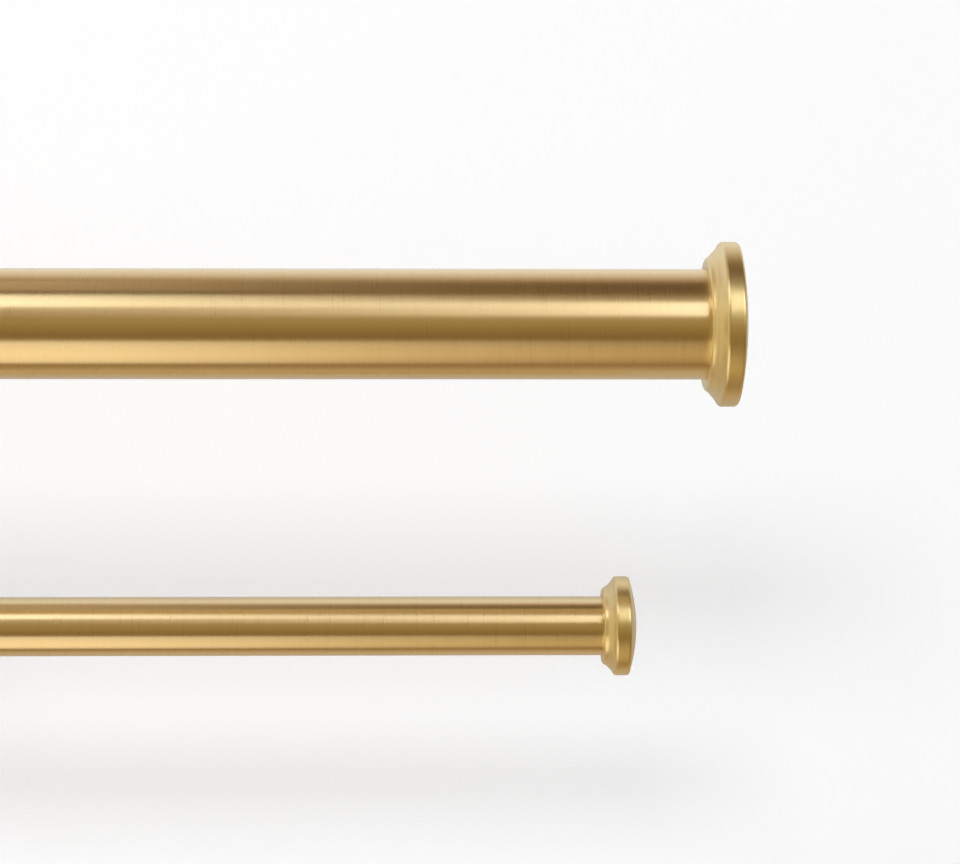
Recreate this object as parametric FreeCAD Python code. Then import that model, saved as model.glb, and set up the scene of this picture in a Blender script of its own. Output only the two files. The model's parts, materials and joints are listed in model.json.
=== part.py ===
"""Double telescoping curtain rod on two stepped wall brackets. FreeCAD script, millimetres.

Frame: X runs along the rods, the wall is the plane Y = 0 with the room on the -Y side, and Z is up.
The origin is the centre of the four wall-screw holes.
"""
import FreeCAD, Part
import math
import os

V = FreeCAD.Vector
X, Y, Z = V(1, 0, 0), V(0, 1, 0), V(0, 0, 1)

# ---------------------------------------------------------------- driving dimensions
BRACKET_X = 235.0            # each bracket stands this far either side of the middle
ROD_STEP = 80.0              # the front rod's axis is this much higher than the rear rod's
RUN_GAP = 0.05               # radial clearance of pieces that turn or slide in one another
SIDES = {"left": -1, "right": 1}

# One entry per rod. r = radius, t = wall or thickness, l = length.
RODS = {
    "front": dict(
        y=-138.0, z=ROD_STEP / 2, half=500.0,
        outer_r=14.0, outer_t=1.0, inner_r=12.0, inner_t=1.0,
        mouth_x=-257.0, hidden_x=240.0, plug_l=14.0, bush_l=26.0, ring_l=20.0,
        stud_r=3.0, stud_l=13.0, washer_r=8.0, washer_t=0.8, ring_wall_l=3.6,
        cap=dict(length=10.3, bore_l=5.8, bore_edge=0.65, nose_r=15.7, collar=(0.45, 17.0),
                 waist=(1.7, 18.2), shoulder=(3.35, 20.4), rim_x=4.1, rim_r=20.9, rim_round=0.85),
        cradle=dict(pad_t=1.2, wall=3.0, width=16.0, ear=4.0, seat_r=8.0, seat_l=4.0, boss_r=6.2, boss_l=5.0),
        thumb=dict(shank_r=3.0, head_r=7.5, head_l=8.0, neck_r=4.5, flutes=20),
        arm=dict(r=6.0, spigot_r=5.0, nut_across=16.0, collar_r=13.0, collar_l=9.0),
    ),
    "rear": dict(
        y=-93.5, z=-ROD_STEP / 2, half=476.0,
        outer_r=8.0, outer_t=0.9, inner_r=6.5, inner_t=0.8,
        mouth_x=-257.0, hidden_x=240.0, plug_l=12.0, bush_l=20.0, ring_l=16.0,
        stud_r=2.0, stud_l=11.0, washer_r=4.6, washer_t=0.6, ring_wall_l=3.0,
        cap=dict(length=9.3, bore_l=5.2, bore_edge=0.5, nose_r=9.4, collar=(0.6, 10.5),
                 waist=(1.8, 11.4), shoulder=(3.0, 12.95), rim_x=3.7, rim_r=13.44, rim_round=0.85),
        cradle=dict(pad_t=1.0, wall=2.5, width=13.0, ear=3.0, seat_r=6.5, seat_l=3.5, boss_r=5.2, boss_l=4.5),
        thumb=dict(shank_r=2.5, head_r=6.5, head_l=7.0, neck_r=3.8, flutes=18),
        arm=dict(r=5.0, spigot_r=4.0, nut_across=13.0, collar_r=11.0, collar_l=8.0),
    ),
}
CAP_RUN = 0.1                # radial clearance of a cap's bore round its tube
DOME_SHARE = 0.66            # how far the straight rim reaches between rim_x and a cap's full length
STUD_SEAT = 2.4              # a stud's hole goes this much deeper than the cap's bore
MOUTH_FLANGE_T = 1.2         # the bush's flange outside the outer tube's mouth
FACE_GAP = 0.05              # axial gap each side of a cap's washer and above a thumb screw
PAD_GAP = 0.3                # from a rod to its cradle pads and screw tips
PAD_INSET = 2.0              # a pad is this much lower and narrower than its cradle
CRADLE_SOFT, BOSS_SOFT = 0.6, 0.8
ROOT_IN = 0.8                # how deep a cradle's seat and boss start inside its wall

COVER_HALF_W, COVER_HALF_H = 19.0, 71.0
COVER_DEPTH, COVER_WALL, COVER_FRONT, COVER_ROUND = 14.0, 1.5, 2.0, 3.0
PLATE_T, PLATE_CLEAR = 3.0, 1.0
WALL_HOLE_Z, WALL_HOLE_R, WALL_SINK_R, WALL_SINK_L = 55.0, 2.6, 4.8, 1.5
TAB_HALF_W, TAB_LOW_Z, TAB_HIGH_Z, TAB_DEPTH = 5.0, 62.0, 67.0, 7.0
GRUB_R, GRUB_HEX = 2.0, 2.0
NUT_L, SPIGOT_L = 4.5, 9.0
FIX_R, FIX_HEAD_R, FIX_HEAD_L, FIX_L = 2.0, 3.9, 1.9, 12.0
FIX_HEX, FIX_HEX_L, FIX_SINK_MORE = 2.5, 1.6, 0.85
NECK_L, NECK_DROP = 9.0, 0.8
GRUB_DOWN = 0.4
THROUGH = 20.0               # length of a cutting tool that has to pass right through
TIP_SIDE_GAP, TIP_L, STEM_R, STEM_L, HEAD_DROP = 0.2, 3.0, 1.2, 2.4, 2.0


# ---------------------------------------------------------------- shape helpers
def rod_of(r, start, length, axis):
    """A solid cylinder from start along axis."""
    return Part.makeCylinder(r, length, start, axis)


def tube_of(r_out, r_in, start, length, axis):
    """A straight pipe."""
    return rod_of(r_out, start, length, axis).cut(rod_of(r_in, start, length, axis))


def outline(points):
    """A closed wire in the XY plane. A point (x, y) is reached by a straight line, and
    (x, y, mid_x, mid_y) by an arc through the middle point."""
    edges, here = [], V(points[0][0], points[0][1], 0)
    for p in list(points[1:]) + [points[0][:2]]:
        there = V(p[0], p[1], 0)
        if (there - here).Length < 1e-7:
            continue
        if len(p) == 4:
            edges.append(Part.Arc(here, V(p[2], p[3], 0), there).toShape())
        else:
            edges.append(Part.LineSegment(here, there).toShape())
        here = there
    return Part.Wire(edges)


def turned(points, start, axis):
    """A solid of revolution: points are (distance along the axis, radius), as for outline."""
    solid = Part.Face(outline(points)).revolve(V(0, 0, 0), X, 360)
    return placed(solid, start, axis)


def placed(shape, start, axis):
    """The shape with its +X turned to axis and its origin moved to start."""
    moved = shape.copy()
    moved.Placement = FreeCAD.Placement(start, FreeCAD.Rotation(X, axis)).multiply(moved.Placement)
    return moved


def arc_middle(a, b, bulge):
    """The middle point of an arc from a to b that stands bulge to the left of the chord."""
    dx, dy = b[0] - a[0], b[1] - a[1]
    long = math.hypot(dx, dy)
    return ((a[0] + b[0]) / 2 - dy / long * bulge, (a[1] + b[1]) / 2 + dx / long * bulge)


def ball_middle(edge, top):
    """The middle point of the arc from edge (x, radius) to (top, 0) whose centre is on the axis."""
    rise = top - edge[0]
    ball_r = (edge[1] ** 2 + rise ** 2) / (2 * rise)
    half_turn = math.asin(edge[1] / ball_r) / 2
    return (top - ball_r + ball_r * math.cos(half_turn), ball_r * math.sin(half_turn))


def stadium(half_w, half_h, y, depth):
    """A plate with round ends, upright in Z, from y to y - depth."""
    straight = half_h - half_w
    low, high = V(0, y, -straight), V(0, y, straight)
    edges = [
        Part.LineSegment(V(half_w, y, -straight), V(half_w, y, straight)).toShape(),
        Part.Arc(V(half_w, y, straight), high + Z * half_w, V(-half_w, y, straight)).toShape(),
        Part.LineSegment(V(-half_w, y, straight), V(-half_w, y, -straight)).toShape(),
        Part.Arc(V(-half_w, y, -straight), low - Z * half_w, V(half_w, y, -straight)).toShape(),
    ]
    return Part.Face(Part.Wire(edges)).extrude(V(0, -depth, 0))


def prism(sides, across, start, length, axis):
    """A bar with a regular outline, measured across its flats."""
    r = across / 2 / math.cos(math.pi / sides)
    turn = [2 * math.pi * (i + 0.5) / sides for i in range(sides + 1)]
    face = Part.Face(Part.makePolygon([V(0, r * math.cos(a), r * math.sin(a)) for a in turn]))
    return placed(face.extrude(X * length), start, axis)


def u_channel(r_out, r_in, ear, width):
    """A U-shaped strip about the X axis, open at the top, whose ears rise straight above the axis."""
    def filled(r):
        return [(-r, ear), (-r, 0), (r, 0, 0, -r), (r, ear)]

    outer = Part.Face(outline(filled(r_out)))
    inner = Part.Face(outline([(-r_in, ear + 1), (-r_in, 0), (r_in, 0, 0, -r_in), (r_in, ear + 1)]))
    flat = outer.cut(inner)
    solid = flat.extrude(Z * width)
    # drawn in XY and raised along Z, so its X becomes Y, its Y becomes Z and its Z becomes X
    solid.Placement = FreeCAD.Placement(V(-width / 2, 0, 0), FreeCAD.Rotation(V(1, 1, 1), 120))
    return solid


def rounded(solid, radius, wanted):
    """The solid with a round on every edge for which wanted(edge) is true."""
    return solid.makeFillet(radius, [e for e in solid.Edges if wanted(e)])


def one(shape):
    """The only solid in a shape."""
    solids = shape.Solids
    assert len(solids) == 1, len(solids)
    return solids[0]


# ---------------------------------------------------------------- pieces of a rod
def end_cap(rod):
    """The turned cap along +X from its mouth at 0: a rounded lip, a hollowed collar, a rim and a dome."""
    c, bore = rod["cap"], rod["outer_r"] + CAP_RUN
    dome_x = c["rim_x"] + (c["length"] - c["rim_x"]) * DOME_SHARE
    rim_end = (dome_x - c["rim_round"], c["rim_r"])
    dome_edge = (dome_x, c["rim_r"] - c["rim_round"])
    hole_l = stud_seat(rod)
    lip_in = (c["bore_edge"], bore)
    nose = (0.0, c["nose_r"])
    dome_mid = ball_middle(dome_edge, c["length"])
    return [
        (hole_l, 0.0), (hole_l, rod["stud_r"]), (c["bore_l"], rod["stud_r"]), (c["bore_l"], bore), lip_in,
        nose + arc_middle(lip_in, nose, 0.25),
        c["collar"] + arc_middle(nose, c["collar"], 0.2),
        c["waist"] + arc_middle(c["collar"], c["waist"], -0.1),
        c["shoulder"] + arc_middle(c["waist"], c["shoulder"], -0.12),
        (c["rim_x"], c["rim_r"]) + arc_middle(c["shoulder"], (c["rim_x"], c["rim_r"]), 0.1),
        rim_end,
        dome_edge + arc_middle(rim_end, dome_edge, c["rim_round"] * (math.sqrt(2) - 1) / math.sqrt(2)),
        (c["length"], 0.0) + dome_mid,
    ]


def stud_seat(rod):
    """How far from the mouth the stud's blind hole in the cap ends."""
    return rod["cap"]["bore_l"] + STUD_SEAT


def tube_in_cap(rod):
    """How far a tube's end stands inside its cap, which leaves room for the washer."""
    return rod["cap"]["bore_l"] - rod["washer_t"] - 2 * FACE_GAP


def rod_pieces(name, rod):
    """Every piece of one telescoping rod, by node name."""
    y, z, half, cap = rod["y"], rod["z"], rod["half"], rod["cap"]

    def at(x):
        return V(x, y, z)

    out_in, inn_in = rod["outer_r"] - rod["outer_t"], rod["inner_r"] - rod["inner_t"]
    slide_r = rod["inner_r"] + RUN_GAP
    inside = tube_in_cap(rod)
    tube_end = half - cap["length"] + inside
    bush = tube_of(out_in, slide_r, at(rod["mouth_x"]), rod["bush_l"], X)
    flange = tube_of(rod["outer_r"], slide_r, at(rod["mouth_x"] - MOUTH_FLANGE_T), MOUTH_FLANGE_T, X)
    ring_at = at(rod["hidden_x"] - rod["ring_l"])
    pieces = {
        "outer_tube": tube_of(rod["outer_r"], out_in, at(rod["mouth_x"]), tube_end - rod["mouth_x"], X),
        "inner_tube": tube_of(rod["inner_r"], inn_in, at(-tube_end), rod["hidden_x"] + tube_end, X),
        "mouth_bush": bush.fuse(flange).removeSplitter(),
        "glide_ring": tube_of(out_in - RUN_GAP, rod["inner_r"], ring_at, rod["ring_l"], X),
    }
    seat, stud_r = stud_seat(rod), rod["stud_r"]
    tip, bevel = seat - rod["stud_l"], 0.2 * stud_r
    stud = [(tip, 0.0), (tip, stud_r - bevel), (tip + bevel, stud_r), (seat, stud_r), (seat, 0.0)]
    for side, s in SIDES.items():
        outward, plug_r = X * s, (out_in if s > 0 else inn_in)
        mouth = at(s * (half - cap["length"]))
        plug_at = mouth + outward * (inside - rod["plug_l"])
        washer_at = mouth + outward * (inside + FACE_GAP)
        pieces[f"{side}_plug"] = tube_of(plug_r, stud_r + RUN_GAP, plug_at, rod["plug_l"], outward)
        pieces[f"{side}_cap_washer"] = tube_of(
            rod["washer_r"], stud_r + 4 * RUN_GAP, washer_at, rod["washer_t"], outward)
        pieces[f"{side}_cap"] = turned(end_cap(rod), mouth, outward)
        pieces[f"{side}_cap_stud"] = turned(stud, mouth, outward)
    start = V(-(half - cap["length"]) - cap["bore_edge"], y, z)
    pieces["left_cap_ring"] = tube_of(
        rod["outer_r"] + CAP_RUN, rod["inner_r"] + CAP_RUN, start, rod["ring_wall_l"], -X)
    return {f"{name}_{node}": one(shape) for node, shape in pieces.items()}


# ---------------------------------------------------------------- pieces of a bracket
def pad_r(rod):
    """The inner and the outer radius of a cradle pad."""
    inner = rod["outer_r"] + PAD_GAP
    return inner, inner + rod["cradle"]["pad_t"]


def seat_face_y(rod):
    """Where the arm ends against the cradle's seat."""
    c = rod["cradle"]
    return rod["y"] + pad_r(rod)[1] + c["wall"] + c["seat_l"]


def cradle(rod, at):
    """The open-topped cast saddle, its rear seat for the arm and its lower boss for the thumb screw."""
    c, r_in = rod["cradle"], pad_r(rod)[1]
    r_out = r_in + c["wall"]

    def ear_tip(edge):
        return abs(edge.CenterOfMass.z - c["ear"]) < 1e-6 and abs(edge.Length - c["width"]) < 1e-6

    def side_edge(edge):
        return abs(abs(edge.CenterOfMass.x) - c["width"] / 2) < 1e-6 and edge.Length > c["wall"] * 1.5

    def boss_end(edge):
        return edge.CenterOfMass.z < at.z - r_out - c["boss_l"] + 0.01 and edge.Length > c["boss_r"]

    u = rounded(u_channel(r_out, r_in, c["ear"], c["width"]), c["wall"] * 0.45, ear_tip)
    u = rounded(u, CRADLE_SOFT, side_edge)
    u.translate(at)
    root = r_in + ROOT_IN
    seat = rod_of(c["seat_r"], at + Y * root, c["wall"] + c["seat_l"] - ROOT_IN, Y)
    boss = rod_of(c["boss_r"], at - Z * root, c["wall"] + c["boss_l"] - ROOT_IN, -Z)
    boss = rounded(boss, BOSS_SOFT, boss_end)
    room = rod_of(r_in, at - X * c["width"], 2 * c["width"], X)
    body = u.fuse([seat, boss]).cut(room)
    thumb_hole = rod_of(rod["thumb"]["shank_r"] + RUN_GAP, at, r_out + THROUGH, -Z)
    hole_r, sink_r = FIX_R + 0.1, FIX_HEAD_R + FIX_SINK_MORE
    screw_hole = rod_of(hole_r, at + Y * (r_in - 1), THROUGH, Y)
    sink = Part.makeCone(sink_r, hole_r, sink_r - hole_r, at + Y * (r_in - 0.6), Y)
    return body.cut(thumb_hole).cut(screw_hole).cut(sink)


def cradle_pad(rod, at):
    """The soft liner between a rod and its cradle."""
    c, (r_in, r_out) = rod["cradle"], pad_r(rod)
    pad = u_channel(r_out, r_in, c["ear"] - PAD_INSET, c["width"] - PAD_INSET)
    pad.translate(at)
    return pad.cut(rod_of(rod["thumb"]["shank_r"] + PAD_GAP, at, r_out + THROUGH, -Z))


def cradle_screw(rod, at):
    """The countersunk screw that holds a cradle to its arm."""
    r_in = pad_r(rod)[1]
    head = [(0.0, 0.0), (0.0, FIX_HEAD_R), (FIX_HEAD_L, FIX_R), (FIX_L, FIX_R), (FIX_L, 0.0)]
    screw = turned(head, at + Y * (r_in + PAD_GAP / 2), Y)
    return screw.cut(prism(6, FIX_HEX, at + Y * r_in, FIX_HEX_L, Y))


def arm(rod, x):
    """The turned bar from the cover plate to the cradle's seat, with its threaded spigot behind the cover."""
    a, z = rod["arm"], rod["z"]
    face = -COVER_DEPTH
    length = face - seat_face_y(rod)
    bead = rod["cradle"]["seat_r"]
    bar = [
        (-SPIGOT_L, 0.0), (-SPIGOT_L, a["spigot_r"] - 0.7), (-SPIGOT_L + 0.7, a["spigot_r"]),
        (0.0, a["spigot_r"]), (0.0, a["r"]), (length - NECK_L, a["r"]),
        (length - NECK_L + 1.0, a["r"] - NECK_DROP, length - NECK_L + 0.4, a["r"] - 0.6),
        (length - 6.5, a["r"] - NECK_DROP),
        (length - 3.5, bead, length - 4.2, a["r"] + 0.1), (length, bead), (length, 0.0),
    ]
    shape = turned(bar, V(x, face, z), -Y)
    return shape.cut(rod_of(FIX_R, V(x, seat_face_y(rod), z), FIX_L, Y))


def arm_collar(rod, x):
    """The turned rosette round the arm's root, with the same lip, hollow and rim as the end caps."""
    a = rod["arm"]
    r, base, long = a["r"], a["collar_r"], a["collar_l"]
    rim, neck = (3.0, base), (long - 0.6, r + 2.0)
    waist = (long * 0.55, r + 3.0)
    profile = [
        (0.0, r), (0.0, base - 0.5), (0.5, base, 0.15, base - 0.15), rim,
        waist + arc_middle(rim, waist, -0.7),
        neck + arc_middle(waist, neck, -0.1),
        (long, r + 1.0) + arc_middle(neck, (long, r + 1.0), 0.25),
        (long, r),
    ]
    return turned(profile, V(x, -COVER_DEPTH, rod["z"]), -Y)


def arm_nut(rod, x):
    """The hexagon nut behind the cover plate's front."""
    a, start = rod["arm"], V(x, COVER_FRONT - COVER_DEPTH, rod["z"])
    return prism(6, a["nut_across"], start, NUT_L, Y).cut(rod_of(a["spigot_r"], start, NUT_L, Y))


def thumb_levels(rod):
    """Heights below the rod's axis: the tip's top, the shank's top, the head's top and its bottom."""
    c, t = rod["cradle"], rod["thumb"]
    tip_top = rod["outer_r"] + PAD_GAP
    shank_top = tip_top + TIP_L + FACE_GAP
    head_top = pad_r(rod)[1] + c["wall"] + c["boss_l"] + HEAD_DROP
    return tip_top, shank_top, head_top, head_top + t["head_l"]


def thumb_screw(rod, at):
    """The fluted screw under a cradle. Its end is drilled for the tip's stem."""
    t = rod["thumb"]
    _, shank_top, head_top, head_end = thumb_levels(rod)
    r = t["head_r"]
    points = [
        (shank_top, STEM_R + RUN_GAP), (shank_top, t["shank_r"]), (head_top, t["shank_r"]),
        (head_top, t["neck_r"]), (head_top + 1.4, t["neck_r"]), (head_top + 1.8, r - 0.9),
        (head_top + 2.6, r), (head_end - 1.0, r),
        (head_end, r - 1.0, head_end - 0.3, r - 0.3), (head_end, 0.0),
        (shank_top + STEM_L + 0.4, 0.0), (shank_top + STEM_L + 0.4, STEM_R + RUN_GAP),
    ]
    screw = turned(points, at, -Z)
    step = 2 * math.pi / t["flutes"]
    flute_r = r * step * 0.32
    ring_r = r + flute_r * 0.35
    flutes = []
    for i in range(t["flutes"]):
        foot = V(ring_r * math.cos(i * step), ring_r * math.sin(i * step), -head_top - 1.5)
        flutes.append(rod_of(flute_r, at + foot, t["head_l"], -Z))
    return screw.cut(flutes)


def screw_tip(rod, at):
    """The nylon tip that bears on the rod while the screw turns under it."""
    tip_top, _, _, _ = thumb_levels(rod)
    r = rod["thumb"]["shank_r"] - TIP_SIDE_GAP
    points = [(tip_top, 0), (tip_top, r - 0.4), (tip_top + 0.4, r), (tip_top + TIP_L, r),
              (tip_top + TIP_L, STEM_R), (tip_top + TIP_L + STEM_L, STEM_R), (tip_top + TIP_L + STEM_L, 0)]
    return turned(points, at, -Z)


def wall_plate(x):
    """The steel plate that is screwed to the wall, with a tapped tab at each end for the cover."""
    half_w, half_h = COVER_HALF_W - COVER_WALL - PLATE_CLEAR, COVER_HALF_H - COVER_WALL - PLATE_CLEAR
    plate = stadium(half_w, half_h, 0.0, PLATE_T)
    for s in SIDES.values():
        low = TAB_LOW_Z if s > 0 else -TAB_HIGH_Z
        tab = Part.makeBox(2 * TAB_HALF_W, TAB_DEPTH + 0.5, TAB_HIGH_Z - TAB_LOW_Z,
                           V(-TAB_HALF_W, -PLATE_T - TAB_DEPTH, low))
        plate = plate.fuse(tab)
    plate = plate.removeSplitter()
    for s in SIDES.values():
        hole = V(0, 1, s * WALL_HOLE_Z)
        sink = Part.makeCone(WALL_HOLE_R, WALL_SINK_R, WALL_SINK_L, V(0, -PLATE_T + WALL_SINK_L, hole.z), -Y)
        plate = plate.cut(rod_of(WALL_HOLE_R, hole, PLATE_T + 2, -Y)).cut(sink)
        plate = plate.cut(rod_of(GRUB_R, V(0, grub_y(), s * (TAB_LOW_Z - 1)), 10, Z * s))
    plate.translate(X * x)
    return plate


def grub_y():
    """The grub screws' distance from the wall."""
    return -PLATE_T - TAB_DEPTH / 2


def cover_plate(x):
    """The pressed brass cover, a deep shell with round ends, drilled for two arms and two grub screws."""
    shell = stadium(COVER_HALF_W, COVER_HALF_H, 0.0, COVER_DEPTH)
    shell = rounded(shell, COVER_ROUND, lambda e: abs(e.CenterOfMass.y + COVER_DEPTH) < 1e-6)
    inner_front = COVER_DEPTH - COVER_FRONT
    hollow = stadium(COVER_HALF_W - COVER_WALL, COVER_HALF_H - COVER_WALL, 1.0, inner_front + 1.0)
    hollow = rounded(hollow, COVER_ROUND - COVER_WALL, lambda e: e.CenterOfMass.y < 1e-6 - inner_front)
    cover = shell.cut(hollow)
    for rod in RODS.values():
        cover = cover.cut(rod_of(rod["arm"]["spigot_r"] + 0.1, V(0, 0, rod["z"]), COVER_DEPTH + 2, -Y))
    for s in SIDES.values():
        cover = cover.cut(rod_of(GRUB_R + 0.1, V(0, grub_y(), s * (COVER_HALF_H - 5)), 10, Z * s))
    cover.translate(X * x)
    return cover


def grub_screw(x, s):
    """A socket set screw from the cover's end into the wall plate's tab."""
    top = COVER_HALF_H - GRUB_DOWN
    start = V(x, grub_y(), s * top)
    body = rod_of(GRUB_R, start, top - TAB_LOW_Z, -Z * s)
    return body.cut(prism(6, GRUB_HEX, start, 2.0, -Z * s))


def bracket_pieces():
    """Every piece of both brackets, by node name. Small identical fasteners share a node."""
    pieces, nuts, screws, grubs = {}, [], [], []
    for side, sx in SIDES.items():
        x = sx * BRACKET_X
        pieces[f"{side}_wall_plate"] = one(wall_plate(x))
        pieces[f"{side}_cover_plate"] = one(cover_plate(x))
        grubs += [one(grub_screw(x, s)) for s in SIDES.values()]
        for name, rod in RODS.items():
            at = V(x, rod["y"], rod["z"])
            made = {
                "arm": arm(rod, x), "collar": arm_collar(rod, x), "cradle": cradle(rod, at),
                "cradle_pad": cradle_pad(rod, at), "thumb_screw": thumb_screw(rod, at),
                "screw_tip": screw_tip(rod, at),
            }
            pieces.update({f"{side}_{name}_{node}": one(shape) for node, shape in made.items()})
            nuts.append(one(arm_nut(rod, x)))
            screws.append(one(cradle_screw(rod, at)))
    pieces["arm_nuts"] = Part.makeCompound(nuts)
    pieces["cradle_screws"] = Part.makeCompound(screws)
    pieces["cover_grub_screws"] = Part.makeCompound(grubs)
    return pieces


# ---------------------------------------------------------------- write the pieces
os.makedirs("parts", exist_ok=True)
everything = bracket_pieces()
for rod_name, rod_sizes in RODS.items():
    everything.update(rod_pieces(rod_name, rod_sizes))
for node, shape in everything.items():
    assert shape.isValid(), node
    shape.exportStep(f"parts/{node}.step")
    print(f"{node}: {shape.Volume:.1f} mm3")
print(len(everything), "nodes")
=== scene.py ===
# %% [markdown]
# # A double curtain rod on two wall brackets
# The real object is two brushed brass rods of different thickness, one before and one below the other, on a
# pair of stepped wall brackets. Nearly every piece is turned on a lathe, so this lesson is mostly about one
# idea: a profile carried round an axis, worked out as one array, with the finish following the tool marks.
# The CAD model is loaded first as a fixed frame. Every new piece takes its place from it and rides on its
# bodies.

import json
import math

import bmesh
import bpy
import numpy as np
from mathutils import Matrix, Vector

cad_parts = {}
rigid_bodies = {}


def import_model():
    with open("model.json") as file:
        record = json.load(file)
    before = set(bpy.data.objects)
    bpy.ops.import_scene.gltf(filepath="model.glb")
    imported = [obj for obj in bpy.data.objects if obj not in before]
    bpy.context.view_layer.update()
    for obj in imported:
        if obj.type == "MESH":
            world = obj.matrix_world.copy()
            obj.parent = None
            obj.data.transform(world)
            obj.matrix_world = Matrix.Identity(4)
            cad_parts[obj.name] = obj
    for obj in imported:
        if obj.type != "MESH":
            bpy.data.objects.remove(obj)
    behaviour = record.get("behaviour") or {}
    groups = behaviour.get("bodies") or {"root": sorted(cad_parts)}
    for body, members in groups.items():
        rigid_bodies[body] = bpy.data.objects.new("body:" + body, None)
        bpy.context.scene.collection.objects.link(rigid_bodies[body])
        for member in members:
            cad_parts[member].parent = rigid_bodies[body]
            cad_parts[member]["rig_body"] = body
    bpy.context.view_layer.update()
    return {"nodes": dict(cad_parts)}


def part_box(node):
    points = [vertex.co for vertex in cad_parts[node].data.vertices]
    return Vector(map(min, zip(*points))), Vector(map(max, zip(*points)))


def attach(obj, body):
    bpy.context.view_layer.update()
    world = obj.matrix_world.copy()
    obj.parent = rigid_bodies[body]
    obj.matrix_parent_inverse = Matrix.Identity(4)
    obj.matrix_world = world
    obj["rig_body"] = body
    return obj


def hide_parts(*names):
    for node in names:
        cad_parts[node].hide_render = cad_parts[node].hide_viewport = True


MM = 0.001
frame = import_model()


# %% [markdown]
# ## Where things are
# All places come from the CAD nodes' boxes, so that a change in the CAD source moves the looks with it. The
# profiles further down repeat only the small shapes of a piece, in millimetres from its own start.

# %% Read the two rods' axes and ends from the frame
SIDES = {"left": -1, "right": 1}
RODS = {}
for name in ("front", "rear"):
    low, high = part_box(f"{name}_outer_tube")
    inner_low, inner_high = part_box(f"{name}_inner_tube")
    RODS[name] = {
        "y": (low.y + high.y) / 2, "z": (low.z + high.z) / 2,
        "outer_r": (high.z - low.z) / 2, "outer_x": (low.x, high.x),
        "inner_r": (inner_high.z - inner_low.z) / 2, "inner_x": (inner_low.x, inner_high.x),
    }
    print(name, {key: np.round(np.array(value) / MM, 2).tolist() for key, value in RODS[name].items()})


# %% [markdown]
# ## Colours and nodes
# A screen colour has to become linear light before a shader can use it. One function does that, and one
# more adds a shader node with its settings and links, so that a material reads as a short list.

# %% Two helpers for every material
def linear(code):
    """An sRGB hex colour as linear RGBA: c / 12.92 up to 0.04045, else ((c + 0.055) / 1.055) ** 2.4."""
    c = np.array([int(code[i:i + 2], 16) for i in (1, 3, 5)]) / 255
    rgb = np.where(c <= 0.04045, c / 12.92, ((c + 0.055) / 1.055) ** 2.4)
    return (*rgb.tolist(), 1.0)


def add(tree, kind, inputs=None, stops=None, **settings):
    """Adds one node. An input takes a value or another node's output, and a node means its first output.
    stops are the (place, colour) pairs of a colour ramp."""
    node = tree.nodes.new(kind)
    for key, value in settings.items():
        setattr(node, key, value)
    for key, value in (inputs or {}).items():
        if isinstance(value, bpy.types.Node):
            value = value.outputs[0]
        if isinstance(value, bpy.types.NodeSocket):
            tree.links.new(value, node.inputs[key])
        else:
            node.inputs[key].default_value = value
    for i, (place, colour) in enumerate(stops or []):
        ramp = node.color_ramp.elements
        stop = ramp[i] if i < 2 else ramp.new(place)
        stop.position, stop.color = place, colour
    return node


def empty_material(name):
    """A new material with nothing in its tree but the output."""
    material = bpy.data.materials.new(name)
    material.use_nodes = True
    material.node_tree.nodes.clear()
    return material, material.node_tree, material.node_tree.nodes.new("ShaderNodeOutputMaterial")


print("brass as linear light:", [round(v, 3) for v in linear("#F1D795")])


# %% [markdown]
# ## Brushed brass tube
# The tubes are drawn brass, about 70 parts copper to 30 of zinc, brushed on a belt while they spin and then
# given a clear lacquer, which is the shader's coat. The brush leaves fine rings round the tube. A ring
# scatters light along the tube and hardly round it, so reflections stay crisp bands beside the axis and
# blur lengthways. That is what the anisotropy says: the tangent runs along the tube, which is the rough
# way. The real lines are about 0.05 mm apart, too fine to show, so they are drawn 0.3 mm apart in fine
# groups. A noise stretched round the tube drives colour, roughness and bump.

# %% Brushed brass
BRUSH_LINE_MM, BRUSH_ARC_MM, BRUSH_CLOUD_MM = 0.3, 14.0, 40.0


def brushed_brass():
    material, tree, output = empty_material("brushed_brass_lacquered")
    lathe = add(tree, "ShaderNodeAttribute", attribute_name="lathe_mm").outputs["Vector"]
    stretched = add(tree, "ShaderNodeMapping", {
        "Vector": lathe, "Scale": (1 / BRUSH_LINE_MM, 1 / BRUSH_ARC_MM, 1 / BRUSH_ARC_MM)})
    lines = add(tree, "ShaderNodeTexNoise", {
        "Vector": stretched, "Scale": 1.0, "Detail": 3.0, "Roughness": 0.65})
    cloudy = add(tree, "ShaderNodeTexNoise", {"Vector": lathe, "Scale": 1 / BRUSH_CLOUD_MM, "Detail": 2.0})
    both = add(tree, "ShaderNodeMath", {0: lines, 1: cloudy}, operation="ADD")
    mean = add(tree, "ShaderNodeMath", {0: both, 1: 0.5}, operation="MULTIPLY")
    tone = add(tree, "ShaderNodeValToRGB", {"Fac": mean}, [
        (0.3, linear("#EFDAA8")), (0.7, linear("#F6E4B6"))])
    rough = add(tree, "ShaderNodeMapRange", {"Value": lines, "From Min": 0.3, "From Max": 0.7,
                                             "To Min": 0.27, "To Max": 0.32})
    groove = add(tree, "ShaderNodeBump", {"Height": lines, "Strength": 0.04, "Distance": 0.004 * MM})
    along = add(tree, "ShaderNodeTangent", direction_type="UV_MAP", uv_map="turning")
    metal = add(tree, "ShaderNodeBsdfPrincipled", {
        "Base Color": tone, "Metallic": 1.0, "Roughness": rough, "Anisotropic": 0.78,
        "Tangent": along, "Normal": groove, "Coat Weight": 0.4, "Coat Roughness": 0.15, "Coat IOR": 1.5})
    tree.links.new(metal.outputs[0], output.inputs["Surface"])
    return material


FINISH = {"brushed_brass_tube": brushed_brass()}
print("made", FINISH["brushed_brass_tube"].name)


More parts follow.
